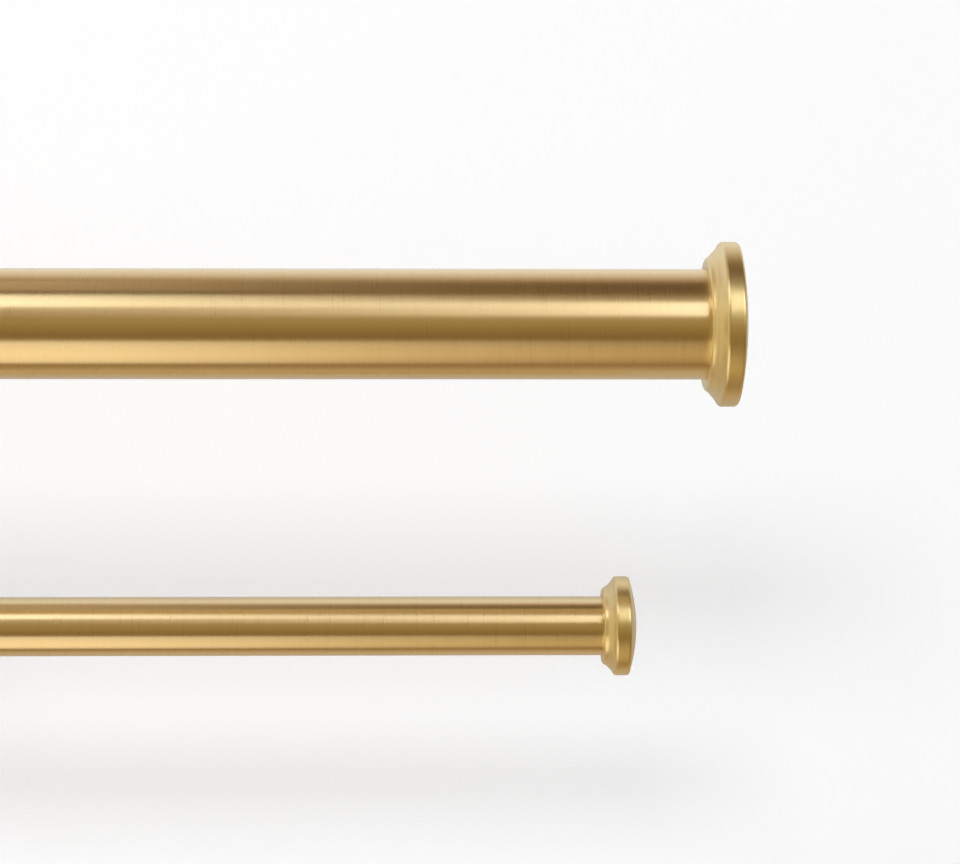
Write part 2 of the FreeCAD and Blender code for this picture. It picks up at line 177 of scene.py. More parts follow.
# %% [markdown]
# ## Turned brass
# Caps, collars, arms and thumb screws are turned from bar on a lathe and satin-polished on the spindle. The
# marks are again rings round the axis, but finer and softer, because polishing mop and paper follow the
# tool. So the metal is the same, the blur is wider and less one-sided, and the lines are shorter and
# fainter.

# %% Turned brass
TURNING_LINE_MM, TURNING_ARC_MM, TURNING_CLOUD_MM = 0.22, 6.0, 9.0


def turned_brass():
    material, tree, output = empty_material("turned_brass_satin_polished")
    lathe = add(tree, "ShaderNodeAttribute", attribute_name="lathe_mm").outputs["Vector"]
    stretched = add(tree, "ShaderNodeMapping", {
        "Vector": lathe, "Scale": (1 / TURNING_LINE_MM, 1 / TURNING_ARC_MM, 1 / TURNING_ARC_MM)})
    lines = add(tree, "ShaderNodeTexNoise", {
        "Vector": stretched, "Scale": 1.0, "Detail": 2.0, "Roughness": 0.6})
    cloudy = add(tree, "ShaderNodeTexNoise", {"Vector": lathe, "Scale": 1 / TURNING_CLOUD_MM, "Detail": 3.0})
    tone = add(tree, "ShaderNodeValToRGB", {"Fac": cloudy}, [
        (0.3, linear("#EFDCA0")), (0.7, linear("#F6E6B0"))])
    rough = add(tree, "ShaderNodeMapRange", {"Value": lines, "From Min": 0.3, "From Max": 0.7,
                                             "To Min": 0.33, "To Max": 0.42})
    groove = add(tree, "ShaderNodeBump", {"Height": lines, "Strength": 0.1, "Distance": 0.004 * MM})
    along = add(tree, "ShaderNodeTangent", direction_type="UV_MAP", uv_map="turning")
    metal = add(tree, "ShaderNodeBsdfPrincipled", {
        "Base Color": tone, "Metallic": 1.0, "Roughness": rough, "Anisotropic": 0.5,
        "Tangent": along, "Normal": groove, "Coat Weight": 0.4, "Coat Roughness": 0.2, "Coat IOR": 1.5})
    tree.links.new(metal.outputs[0], output.inputs["Surface"])
    return material


FINISH["turned_brass"] = turned_brass()
print("made", FINISH["turned_brass"].name)


# %% [markdown]
# ## Cast and pressed brass
# The cradles are cast and the cover plates pressed from sheet. Neither was on a lathe, so their satin comes
# from a vibrating tub or a mop: an even blur with a fine grain of about 0.4 mm and no direction. The
# pattern reads Object coordinates, because these pieces have no profile to follow.

# %% Tumbled brass
TUMBLED_GRAIN_MM, TUMBLED_CLOUD_MM = 0.4, 12.0


def tumbled_brass():
    material, tree, output = empty_material("cast_brass_satin_tumbled")
    place = add(tree, "ShaderNodeTexCoord").outputs["Object"]
    grain = add(tree, "ShaderNodeTexNoise", {
        "Vector": place, "Scale": 1 / (TUMBLED_GRAIN_MM * MM), "Detail": 3.0})
    cloudy = add(tree, "ShaderNodeTexNoise", {
        "Vector": place, "Scale": 1 / (TUMBLED_CLOUD_MM * MM), "Detail": 2.0})
    tone = add(tree, "ShaderNodeValToRGB", {"Fac": cloudy}, [
        (0.3, linear("#EAD498")), (0.7, linear("#F4E1AA"))])
    rough = add(tree, "ShaderNodeMapRange", {"Value": grain, "From Min": 0.3, "From Max": 0.7,
                                             "To Min": 0.3, "To Max": 0.42})
    pits = add(tree, "ShaderNodeBump", {"Height": grain, "Strength": 0.25, "Distance": 0.01 * MM})
    metal = add(tree, "ShaderNodeBsdfPrincipled", {
        "Base Color": tone, "Metallic": 1.0, "Roughness": rough, "Normal": pits,
        "Coat Weight": 0.4, "Coat Roughness": 0.2, "Coat IOR": 1.5})
    tree.links.new(metal.outputs[0], output.inputs["Surface"])
    return material


FINISH["tumbled_brass"] = tumbled_brass()
print("made", FINISH["tumbled_brass"].name)


# %% [markdown]
# ## Zinc plate and black oxide
# Wall plates, nuts, studs and plugs are mild steel with bright zinc, a cool grey with a faint blue and
# yellow cloud from the passivating bath. The grub screws are oiled black oxide over alloy steel. Both are
# one recipe with two colours and a roughness: fine crystals give the even, slightly mottled shine.

# %% Plated steels
CRYSTAL_MM, PLATE_CLOUD_MM = 0.5, 7.0


def plated_steel(name, dark, light, rough_low, rough_high):
    material, tree, output = empty_material(name)
    place = add(tree, "ShaderNodeTexCoord").outputs["Object"]
    crystals = add(tree, "ShaderNodeTexNoise", {
        "Vector": place, "Scale": 1 / (CRYSTAL_MM * MM), "Detail": 3.0})
    cloudy = add(tree, "ShaderNodeTexNoise", {
        "Vector": place, "Scale": 1 / (PLATE_CLOUD_MM * MM), "Detail": 2.0})
    tone = add(tree, "ShaderNodeValToRGB", {"Fac": cloudy}, [(0.3, linear(dark)), (0.7, linear(light))])
    rough = add(tree, "ShaderNodeMapRange", {"Value": crystals, "From Min": 0.3, "From Max": 0.7,
                                             "To Min": rough_low, "To Max": rough_high})
    uneven = add(tree, "ShaderNodeBump", {"Height": crystals, "Strength": 0.2, "Distance": 0.01 * MM})
    metal = add(tree, "ShaderNodeBsdfPrincipled", {
        "Base Color": tone, "Metallic": 1.0, "Roughness": rough, "Normal": uneven})
    tree.links.new(metal.outputs[0], output.inputs["Surface"])
    return material


FINISH["zinc_plated_steel"] = plated_steel("zinc_plated_steel_passivated", "#B9BDC6", "#D3D2C6", 0.28, 0.4)
FINISH["black_steel"] = plated_steel("black_oxide_steel_oiled", "#17171A", "#2B2A2C", 0.35, 0.5)
print("made", FINISH["zinc_plated_steel"].name, "and", FINISH["black_steel"].name)


# %% [markdown]
# ## Nylon, felt and fibre
# Bushes, rings and screw tips are moulded from natural nylon, which is off-white, waxy and lets a little
# light in. The cradle pads are pressed wool felt: matt, with a soft sheen from loose fibres that are about
# 0.03 mm thick and are drawn 0.25 mm wide. The cap washers are red vulcanised fibre, a dense paper board
# with a slight grain.

# %% Nylon, felt and fibre
def soft_or_moulded(name, dark, light, grain_mm, bump, shader):
    """A non-metal whose colour and bump come from one noise of a real grain size."""
    material, tree, output = empty_material(name)
    place = add(tree, "ShaderNodeTexCoord").outputs["Object"]
    grain = add(tree, "ShaderNodeTexNoise", {
        "Vector": place, "Scale": 1 / (grain_mm * MM), "Detail": 4.0, "Roughness": 0.6})
    tone = add(tree, "ShaderNodeValToRGB", {"Fac": grain}, [(0.3, linear(dark)), (0.7, linear(light))])
    uneven = add(tree, "ShaderNodeBump", {"Height": grain, "Strength": bump, "Distance": 0.3 * grain_mm * MM})
    plastic = add(tree, "ShaderNodeBsdfPrincipled", {"Base Color": tone, "Normal": uneven, **shader})
    tree.links.new(plastic.outputs[0], output.inputs["Surface"])
    return material


FINISH["natural_nylon"] = soft_or_moulded(
    "natural_nylon_moulded", "#E2DED0", "#EFECE2", 3.0, 0.04,
    {"Roughness": 0.38, "IOR": 1.53, "Subsurface Weight": 0.2, "Subsurface Scale": 0.002})
FINISH["grey_felt_pad"] = soft_or_moulded(
    "grey_wool_felt_pressed", "#5F5D5A", "#8B8883", 0.25, 0.8,
    {"Roughness": 0.95, "IOR": 1.45, "Sheen Weight": 0.5, "Sheen Roughness": 0.5})
FINISH["red_fibre"] = soft_or_moulded(
    "red_vulcanised_fibre", "#6E1F17", "#93342A", 0.6, 0.3, {"Roughness": 0.6, "IOR": 1.5})
print(len(FINISH), "finishes")


# %% [markdown]
# ## Profiles
# A lathe profile is a list of corners, each a distance along the axis and a radius, and some corners are
# reached by an arc. No real corner is sharp: a small round catches a thin line of light and says that the
# piece was made. The rounds are worked out for all corners at once as short curves. Then every long run
# gets one extra point near each end, which keeps the shading of the round from leaking into the run.

# %% From corners to a smooth profile
def drawn(corners, steps=10):
    """Points of a profile in mm. A corner (x, r, bulge) is reached by the arc that stands bulge to the left
    of its chord c: the arc's radius is (c * c / 4 + bulge * bulge) / (2 * bulge), and its points are the
    chord's start turned about the arc's centre, as complex numbers."""
    here = complex(*corners[0][:2])
    pieces = [np.array([here])]
    for x, r, *bulge in corners[1:]:
        there = complex(x, r)
        if bulge:
            chord = abs(there - here)
            radius = (chord ** 2 / 4 + bulge[0] ** 2) / (2 * bulge[0])
            left = 1j * (there - here) / chord
            centre = (here + there) / 2 + left * (bulge[0] - radius)
            turn = 2 * math.asin(chord / 2 / radius)
            t = np.arange(1, steps + 1) / steps
            pieces.append(centre + (here - centre) * np.exp(-1j * turn * t))
        else:
            pieces.append(np.array([there]))
        here = there
    line = np.concatenate(pieces)
    return np.stack([line.real, line.imag], 1)


def eased(points, radius, closed=False, sharp=math.radians(20), steps=5):
    """Rounds every corner that turns more than sharp. From A at t before the corner P to B at t after it, the
    line becomes the curve (1-s)(1-s) A + 2 s (1-s) P + s s B, where t is radius * tan(half the turn), at most
    0.45 of a side."""
    before = points - np.roll(points, 1, 0)
    after = np.roll(points, -1, 0) - points
    long_before = np.linalg.norm(before, axis=1)
    long_after = np.linalg.norm(after, axis=1)
    turn = np.abs(np.angle((after @ [1, 1j]) / (before @ [1, 1j])))
    t = np.minimum(radius * np.tan(np.minimum(turn, 3.0) / 2), 0.45 * np.minimum(long_before, long_after))
    t = np.where(turn > sharp, t, 0.0)
    if not closed:
        t[[0, -1]] = 0.0
    start = points - before * (t / long_before)[:, None]
    end = points + after * (t / long_after)[:, None]
    s = np.linspace(0, 1, steps)[None, :, None]
    curve = (1 - s) ** 2 * start[:, None] + 2 * s * (1 - s) * points[:, None] + s ** 2 * end[:, None]
    line = curve.reshape(-1, 2)
    keep = np.linalg.norm(line - np.roll(line, 1, 0), axis=1) > 1e-6
    keep[0] = True
    return line[keep]


def supported(points, closed=False, guard=0.25):
    """Adds a point at guard from both ends of every run longer than 4 * guard, and closes a closed line."""
    if closed:
        points = np.vstack([points, points[:1]])
    start, run = points[:-1], np.diff(points, axis=0)
    length = np.linalg.norm(run, axis=1)
    share = np.where(length > 4 * guard, guard / length, 0.0)
    shares = np.stack([np.zeros_like(share), share, 1 - share], 1)
    line = (start[:, None] + shares[:, :, None] * run[:, None]).reshape(-1, 2)
    keep = np.stack([share >= 0, share > 0, share > 0], 1).ravel()
    return np.vstack([line[keep], points[-1:]])


def profile(corners, radius=0.15, closed=False):
    """The finished profile of a turned piece, in mm."""
    return supported(eased(drawn(corners), radius, closed), closed)


print("a tube's end in points:", len(profile([(0, 14), (10, 14), (10, 13), (0, 13)], closed=True)))


# %% [markdown]
# ## Surfaces from a grid
# A turned piece is a function of two parameters, the place on the profile and the turn. All points are
# worked out as one array, and neighbours on the grid make the faces. Where the grid meets itself, at the
# seam and at a point on the axis, the doubled points are merged, so that the surface is closed. The
# distance along the profile and the turn also become a UV map and an attribute in millimetres, which the
# brush lines follow.

# %% One function for a woven grid, one for turned pieces
def woven(name, points, along, turn, lathe=None, flat_ends=False):
    """A closed mesh from a grid of points in metres. along and turn, one value per row and per column, make
    the UV map, and lathe, a vector per point, makes the attribute lathe_mm."""
    rows, columns = points.shape[:2]
    index = np.arange(rows * columns).reshape(rows, columns)
    faces = np.stack([index[:-1, :-1], index[1:, :-1], index[1:, 1:], index[:-1, 1:]], -1)
    faces = faces.reshape(-1, 4).tolist()
    if flat_ends:
        faces += [index[0, :-1].tolist(), index[-1, :-1].tolist()]
    mesh = bpy.data.meshes.new(name)
    mesh.from_pydata(points.reshape(-1, 3).tolist(), [], faces)
    corner = np.empty(len(mesh.loops), np.int32)
    mesh.loops.foreach_get("vertex_index", corner)
    uv = np.stack(np.broadcast_arrays(along[:, None], turn[None, :]), -1).reshape(-1, 2)
    mesh.uv_layers.new(name="turning").data.foreach_set("uv", uv[corner].astype(np.float32).ravel())
    if lathe is not None:
        mesh.attributes.new("lathe_mm", "FLOAT_VECTOR", "POINT").data.foreach_set(
            "vector", lathe.astype(np.float32).ravel())
    tidy = bmesh.new()
    tidy.from_mesh(mesh)
    bmesh.ops.remove_doubles(tidy, verts=tidy.verts, dist=1e-7)
    bmesh.ops.recalc_face_normals(tidy, faces=tidy.faces)
    tidy.to_mesh(mesh)
    tidy.free()
    mesh.shade_smooth()
    piece = bpy.data.objects.new(name, mesh)
    bpy.context.scene.collection.objects.link(piece)
    return piece


TURN_UV_MM = 10.0            # of the UV map, for a turn of one radian


def turned(name, line, start, axis, steps=192, change=None):
    """A surface of revolution. At a distance x along the axis and a turn a, the point is
    start + x * axis + (r(x) + change(x, a)) * (cos a * side + sin a * up), with line giving x and r in mm."""
    axis = np.array(axis, float)
    side = np.array([0.0, 0.0, 1.0]) if abs(axis[2]) < 0.5 else np.array([1.0, 0.0, 0.0])
    up = np.cross(axis, side)
    a = np.linspace(0, 2 * np.pi, steps + 1)
    x, r = line[:, :1], line[:, 1:]
    radius = r + (change(x, r, a[None, :]) if change else 0.0 * a[None, :])
    ring = np.cos(a)[:, None] * side + np.sin(a)[:, None] * up
    points = np.array(start) + MM * (x[:, :, None] * axis + radius[:, :, None] * ring[None])
    along = np.concatenate([[0.0], np.cumsum(np.linalg.norm(np.diff(line, axis=0), axis=1))])
    lathe = np.stack(np.broadcast_arrays(along[:, None], radius * np.cos(a), radius * np.sin(a)), -1)
    return woven(name, points, along * MM, a * TURN_UV_MM * MM, lathe.reshape(-1, 3))


def stands_for(piece, finish, *nodes, slot=None):
    """Gives a piece its finish and lets it stand for CAD nodes, on the body that the first of them rides."""
    piece.data.materials.clear()
    piece.data.materials.append(FINISH[finish])
    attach(piece, frame["nodes"][nodes[0]]["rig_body"])
    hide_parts(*nodes)
    return piece


print("woven and turned are ready")


# %% [markdown]
# ## The tubes
# Each rod is two tubes that slide in one another. The outer one is the thicker, and its far end is hidden
# in the right cap. A tube is a closed rectangle carried round the axis: outside, end, inside, end. Its cut
# ends are broken with a 0.2 mm round, as a deburring wheel leaves them.

# %% Outer and inner tubes
TUBE_STEPS = 256
TUBE_WALL = {"front": {"outer": 1.0, "inner": 1.0}, "rear": {"outer": 0.9, "inner": 0.8}}
for name, rod in RODS.items():
    for layer in ("outer", "inner"):
        start_x, end_x = rod[f"{layer}_x"]
        length, r = (end_x - start_x) / MM, rod[f"{layer}_r"] / MM
        r_in = r - TUBE_WALL[name][layer]
        line = profile([(0, r), (length, r), (length, r_in), (0, r_in)], 0.2, closed=True)
        start = (start_x, rod["y"], rod["z"])
        tube = turned(f"{name}_{layer}_tube_brushed", line, start, (1, 0, 0), TUBE_STEPS)
        stands_for(tube, "brushed_brass_tube", f"{name}_{layer}_tube")
        print(tube.name, len(tube.data.polygons), "faces")


# %% [markdown]
# ## The end caps
# A cap is turned from bar. It starts with a rounded lip round the tube, falls back in a shallow hollow,
# swells to a rim and ends in a low dome. The profile is the one that the CAD source turns: an arc per part,
# with the dome standing on an arc whose centre is on the axis, so that it meets the axis square. Its rims
# get rounds of 0.1 mm.

# %% End caps
CAP = {
    "front": dict(length=10.3, bore_l=5.8, bore_r=14.1, bore_edge=0.65, seat_r=3.0, nose_r=15.7,
                  collar=(0.45, 17.0), waist=(1.7, 18.2), shoulder=(3.35, 20.4),
                  rim_x=4.1, rim_r=20.9, rim_round=0.85),
    "rear": dict(length=9.3, bore_l=5.2, bore_r=8.1, bore_edge=0.5, seat_r=2.0, nose_r=9.4,
                 collar=(0.6, 10.5), waist=(1.8, 11.4), shoulder=(3.0, 12.95),
                 rim_x=3.7, rim_r=13.44, rim_round=0.85),
}
STUD_SEAT = 2.4              # how much deeper than the bore the stud's hole is
DOME_SHARE = 0.66            # the part of the cap beyond the rim's start that is straight rim


def cap_corners(c):
    """The cap's corners from the stud hole's bottom round the lip and the rim to the middle of the dome."""
    dome_x = c["rim_x"] + (c["length"] - c["rim_x"]) * DOME_SHARE
    dome_r = c["rim_r"] - c["rim_round"]
    rise = c["length"] - dome_x
    ball_r = (dome_r ** 2 + rise ** 2) / (2 * rise)
    dome_bulge = ball_r - math.sqrt(ball_r ** 2 - (dome_r ** 2 + rise ** 2) / 4)
    hole_end = c["bore_l"] + STUD_SEAT
    return [
        (hole_end, 0.0), (hole_end, c["seat_r"]), (c["bore_l"], c["seat_r"]), (c["bore_l"], c["bore_r"]),
        (c["bore_edge"], c["bore_r"]), (0.0, c["nose_r"], 0.25), (*c["collar"], 0.2), (*c["waist"], -0.1),
        (*c["shoulder"], -0.12), (c["rim_x"], c["rim_r"], 0.1), (dome_x - c["rim_round"], c["rim_r"]),
        (dome_x, dome_r, c["rim_round"] * (1 - math.sqrt(0.5))), (c["length"], 0.0, dome_bulge),
    ]


for name, rod in RODS.items():
    for side, s in SIDES.items():
        low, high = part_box(f"{name}_{side}_cap")
        mouth_x = low.x if s > 0 else high.x
        line = profile(cap_corners(CAP[name]), 0.1)
        cap = turned(f"{name}_{side}_cap_turned", line, (mouth_x, rod["y"], rod["z"]), (s, 0, 0), TUBE_STEPS)
        stands_for(cap, "turned_brass", f"{name}_{side}_cap")
        print(cap.name, len(cap.data.polygons), "faces, mouth at", round(mouth_x / MM, 2))


# %% [markdown]
# ## Threads
# The caps' studs and the thumb screws are cut threads, and their pitch is what the joints move by: a turn
# draws a cap out by one pitch. A thread is a turned rod whose radius also depends on the turn. The cut is
# deepest where x / pitch - turn / 360 degrees is half way between two whole numbers, which makes one
# right-handed helix.

# %% A helical cut for turned pieces
def resampled(line, step):
    """Points along a profile at most step apart, at its corners too."""
    count = np.maximum(1, np.ceil(np.linalg.norm(np.diff(line, axis=0), axis=1) / step)).astype(int)
    run = np.repeat(np.arange(len(count)), count)
    share = (np.arange(len(run)) - np.repeat(np.cumsum(count) - count, count)) / count[run]
    return np.vstack([line[run] + share[:, None] * (line[run + 1] - line[run]), line[-1:]])


THREAD_DEPTH = 0.488         # of the pitch


def thread(pitch, r_max, x_from, x_to):
    """The change of radius in mm. It falls from 0 at the crest to THREAD_DEPTH * pitch at the root in
    straight flanks. It runs from x_from to x_to, fades out over half a pitch, and acts only where the
    radius is r_max."""
    def change(x, r, a):
        phase = np.mod(x / pitch - a / (2 * np.pi), 1.0)
        depth = THREAD_DEPTH * pitch * np.clip(1.25 - np.abs(2 * phase - 1) * 1.5, 0, 1)
        inside = np.clip(np.minimum(x - x_from, x_to - x) / (pitch / 2), 0, 1)
        return -depth * inside * (np.abs(r - r_max) < 1e-3)
    return change


STUD = {"front": dict(r=3.0, length=13.0, pitch=1.0), "rear": dict(r=2.0, length=11.0, pitch=0.7)}
STUD_BEVEL, STUD_PLAIN = 0.6, 4.5
for name, rod in RODS.items():
    d = STUD[name]
    for side, s in SIDES.items():
        low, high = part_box(f"{name}_{side}_cap_stud")
        start_x = low.x if s > 0 else high.x
        start, r, length = (start_x, rod["y"], rod["z"]), d["r"], d["length"]
        corners = [(0, 0), (0, r - STUD_BEVEL), (STUD_BEVEL, r), (length, r), (length, 0)]
        line = resampled(profile(corners, 0.1), d["pitch"] / 8)
        stud = turned(f"{name}_{side}_cap_stud_threaded", line, start, (s, 0, 0), 64,
                      thread(d["pitch"], r, STUD_BEVEL, length - STUD_PLAIN))
        stands_for(stud, "zinc_plated_steel", f"{name}_{side}_cap_stud")
        print(stud.name, len(stud.data.polygons), "faces")


# %% [markdown]
# ## Rings, bushes, plugs and washers
# The rest of a rod is plain rings: a flanged nylon bush in the outer tube's mouth, a nylon ring on the
# inner tube's hidden end, steel plugs tapped for the studs, fibre washers, and a nylon ring that fills the
# left cap's bore. Each is a closed section turned round the rod's axis between the ends of its CAD node,
# and RINGS gives its outer and inner radius.

# %% Rings of each rod
RINGS = {
    "front": {"mouth_bush": (13.0, 12.05), "glide_ring": (12.95, 12.0), "left_plug": (11.0, 3.05),
              "right_plug": (13.0, 3.05), "left_cap_washer": (8.0, 3.2), "right_cap_washer": (8.0, 3.2),
              "left_cap_ring": (14.1, 12.1)},
    "rear": {"mouth_bush": (7.1, 6.55), "glide_ring": (7.05, 6.5), "left_plug": (5.7, 2.05),
             "right_plug": (7.1, 2.05), "left_cap_washer": (4.6, 2.2), "right_cap_washer": (4.6, 2.2),
             "left_cap_ring": (8.1, 6.6)},
}
RING_FINISH = {"mouth_bush": "natural_nylon", "glide_ring": "natural_nylon", "left_cap_ring": "natural_nylon",
               "left_plug": "zinc_plated_steel", "right_plug": "zinc_plated_steel",
               "left_cap_washer": "red_fibre", "right_cap_washer": "red_fibre"}
FLANGE_MM = 1.2

for name, rod in RODS.items():
    for kind, (r_out, r_in) in RINGS[name].items():
        low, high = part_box(f"{name}_{kind}")
        length = (high.x - low.x) / MM
        corners = [(0, r_out), (length, r_out), (length, r_in), (0, r_in)]
        if kind == "mouth_bush":
            flange_r = rod["outer_r"] / MM
            corners = [(0, flange_r), (FLANGE_MM, flange_r), (FLANGE_MM, r_out), *corners[1:]]
        piece_name = f"{name}_{kind}_moulded" if "ring" in kind else f"{name}_{kind}_ring"
        start = (low.x, rod["y"], rod["z"])
        ring = turned(piece_name, profile(corners, 0.15, closed=True), start, (1, 0, 0), 128)
        stands_for(ring, RING_FINISH[kind], f"{name}_{kind}")
    print(name, "rod:", len(RINGS[name]), "rings")


# %% [markdown]
# ## Arms and collars
# An arm is a bar turned with a short neck and a bead where it meets the cradle. A collar hides the arm's
# root with the same family of curves as the caps: a rounded base, a hollow flank and a soft lip. Both point
# out of the wall.

# %% Arms and collars
ARM = {"front": dict(r=6.0, spigot_r=5.0, bead=8.0, collar_r=13.0, collar_l=9.0),
       "rear": dict(r=5.0, spigot_r=4.0, bead=6.5, collar_r=11.0, collar_l=8.0)}
SPIGOT_L, SPIGOT_BEVEL, NECK_L, NECK_DROP = 9.0, 0.7, 9.0, 0.8
OUT_OF_WALL = (0, -1, 0)


def middle_bulge(a, b, middle):
    """How far a point stands to the left of the chord from a to b, which is what drawn() calls the bulge."""
    chord = complex(b[0] - a[0], b[1] - a[1])
    off = complex(middle[0] - (a[0] + b[0]) / 2, middle[1] - (a[1] + b[1]) / 2)
    return (off / (chord / abs(chord))).imag


def arm_corners(d, length):
    """Spigot, bar, a small step down to the neck, and the flare up to the bead."""
    r, neck, spigot_r = d["r"], d["r"] - NECK_DROP, d["spigot_r"]
    step = ((length - NECK_L, r), (length - NECK_L + 1, neck))
    flare = ((length - 6.5, neck), (length - 3.5, d["bead"]))
    return [
        (-SPIGOT_L, 0), (-SPIGOT_L, spigot_r - SPIGOT_BEVEL), (-SPIGOT_L + SPIGOT_BEVEL, spigot_r),
        (0, spigot_r), (0, r), step[0], (*step[1], middle_bulge(*step, (length - 8.6, r - 0.6))), flare[0],
        (*flare[1], middle_bulge(*flare, (length - 4.2, r + 0.1))), (length, d["bead"]), (length, 0),
    ]


def collar_corners(d):
    """Base, rim, hollow flank and lip, closed by the bore round the arm."""
    r, base, long = d["r"], d["collar_r"], d["collar_l"]
    edge = ((0, base - 0.5), (0.5, base))
    return [
        (0, r), edge[0], (*edge[1], middle_bulge(*edge, (0.15, base - 0.15))), (3.0, base),
        (long * 0.55, r + 3.0, -0.7), (long - 0.6, r + 2.0, -0.1), (long, r + 1.0, 0.25), (long, r),
    ]


for name, d in ARM.items():
    for side in SIDES:
        arm_low, arm_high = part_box(f"{side}_{name}_arm")
        _, collar_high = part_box(f"{side}_{name}_collar")
        centre = (arm_low + arm_high) / 2
        root = (centre.x, collar_high.y, centre.z)
        length = (collar_high.y - arm_low.y) / MM
        arm_line = profile(arm_corners(d, length), 0.25)
        arm = turned(f"{side}_{name}_arm_turned", arm_line, root, OUT_OF_WALL, 128)
        stands_for(arm, "turned_brass", f"{side}_{name}_arm")
        collar_line = profile(collar_corners(d), 0.15, closed=True)
        collar = turned(f"{side}_{name}_collar_turned", collar_line, root, OUT_OF_WALL, 160)
        stands_for(collar, "turned_brass", f"{side}_{name}_collar")
        print(arm.name, "is", round(length, 2), "mm from cover to cradle")


# %% [markdown]
# ## Thumb screws and tips
# Under each cradle a fluted screw presses a nylon tip against the rod. The flutes are scallops milled round
# the head, so the radius drops where the cosine of the turn times the number of flutes is near one. The
# shank above is threaded with the pitch by which its joint rises.

# %% Thumb screws and their tips
THUMB = {"front": dict(shank_r=3.0, head_r=7.5, head_l=8.0, neck_r=4.5, flutes=20, pitch=1.0),
         "rear": dict(shank_r=2.5, head_r=6.5, head_l=7.0, neck_r=3.8, flutes=18, pitch=0.8)}
DOWN = (0, 0, -1)
TIP = dict(hole_r=1.25, stem_r=1.2, stem_l=2.4, length=3.0, side_gap=0.2)
FLUTE_START, FLUTE_DEPTH = 1.5, 0.75


def fluted(d, head_top):
    """The thread's change on the shank, and on the head a drop of up to FLUTE_DEPTH at every flute, which
    starts below the head's top and fades out where the radius is smaller than the full one."""
    cut = thread(d["pitch"], d["shank_r"], 0.3, head_top)

    def change(x, r, a):
        scallop = np.clip(np.cos(a * d["flutes"]) * 1.6 - 0.6, 0, 1) ** 0.7 * FLUTE_DEPTH
        on_head = np.clip(r - d["head_r"] + 1.2, 0, 1) * (x > head_top + FLUTE_START)
        return cut(x, r, a) - scallop * on_head
    return change


for name, d in THUMB.items():
    for side in SIDES:
        low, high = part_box(f"{side}_{name}_thumb_screw")
        _, tip_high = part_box(f"{side}_{name}_screw_tip")
        centre = (low + high) / 2
        head_end = (high.z - low.z) / MM
        head_top, r = head_end - d["head_l"], d["head_r"]
        hole = TIP["stem_l"] + 0.4
        corners = [
            (hole, 0), (hole, TIP["hole_r"]), (0, TIP["hole_r"]), (0, d["shank_r"]), (head_top, d["shank_r"]),
            (head_top, d["neck_r"]), (head_top + 1.4, d["neck_r"]), (head_top + 1.8, r - 0.9),
            (head_top + 2.6, r), (head_end - 1.0, r), (head_end, r - 1.0, 0.29), (head_end, 0),
        ]
        line = resampled(profile(corners, 0.12), 0.14)
        screw = turned(f"{side}_{name}_thumb_screw_fluted", line, (centre.x, centre.y, high.z), DOWN, 180,
                       fluted(d, head_top))
        stands_for(screw, "turned_brass", f"{side}_{name}_thumb_screw")
        tip_r, long = d["shank_r"] - TIP["side_gap"], TIP["length"]
        tip_line = profile([(0, 0), (0, tip_r - 0.4), (0.4, tip_r), (long, tip_r), (long, TIP["stem_r"]),
                            (long + TIP["stem_l"], TIP["stem_r"]), (long + TIP["stem_l"], 0)], 0.1)
        tip_start = (centre.x, centre.y, tip_high.z)
        tip = turned(f"{side}_{name}_screw_tip_moulded", tip_line, tip_start, DOWN, 64)
        stands_for(tip, "natural_nylon", f"{side}_{name}_screw_tip")
        print(screw.name, len(screw.data.polygons), "faces")


# %% [markdown]
# ## Cover plates
# A cover is pressed from brass sheet: a deep lid with round ends and a soft front edge. It is a section
# carried round a stadium. The section runs from the front face over the rounded edge to the rim and back
# inside, and the two flat faces close it. Two small holes for the grub screws are drilled through the ends
# with a Boolean.

# %% Cover plates
COVER = dict(half_w=19.0, half_h=71.0, depth=14.0, wall=1.5, front=2.0, round=3.0, grub_y=-6.5, grub_r=2.1)
END_STEPS, COVER_DRILL_MM = 48, 8.0


def carried_round_stadium(name, section, centre_x):
    """For a section point (inset, y) and a turn a, the point is the end circle's centre plus
    (half width - inset) * (cos a, sin a), with the upper centre for the first half turn and the lower for the
    second. The straight sides are the runs between the two."""
    half = np.linspace(0, np.pi, END_STEPS + 1)
    a = np.concatenate([half, half + np.pi, [2 * np.pi]])
    upper = np.ones(END_STEPS + 1)
    lift = np.concatenate([upper, -upper, [1.0]]) * (COVER["half_h"] - COVER["half_w"])
    reach = COVER["half_w"] - section[:, :1]
    x = centre_x / MM + reach * np.cos(a)
    z = lift + reach * np.sin(a)
    y = np.broadcast_to(section[:, 1:], x.shape)
    along = np.concatenate([[0.0], np.cumsum(np.linalg.norm(np.diff(section, axis=0), axis=1))])
    return woven(name, np.stack([x, y, z], -1) * MM, along * MM, a * TURN_UV_MM * MM, flat_ends=True)


def drilled(piece, place, r, axis, length):
    """Cuts a round hole with a Boolean that is applied at once."""
    turn = Vector((0, 0, 1)).rotation_difference(Vector(axis)).to_euler()
    bpy.ops.mesh.primitive_cylinder_add(vertices=48, radius=r, depth=length, location=place, rotation=turn)
    drill = bpy.context.object
    cut = piece.modifiers.new("drill", "BOOLEAN")
    cut.object, cut.operation, cut.solver = drill, "DIFFERENCE", "EXACT"
    bpy.context.view_layer.update()
    result = bpy.data.meshes.new_from_object(piece.evaluated_get(bpy.context.evaluated_depsgraph_get()))
    piece.modifiers.clear()
    piece.data = result
    bpy.data.objects.remove(drill)


def flat_kept_flat(piece, angle=30):
    """Marks edges over an angle sharp and weights normals by face, so that rounds are smooth beside flats."""
    piece.data.shade_smooth()
    piece.data.set_sharp_from_angle(angle=math.radians(angle))
    piece.modifiers.new("weighted normals", "WEIGHTED_NORMAL").keep_sharp = True


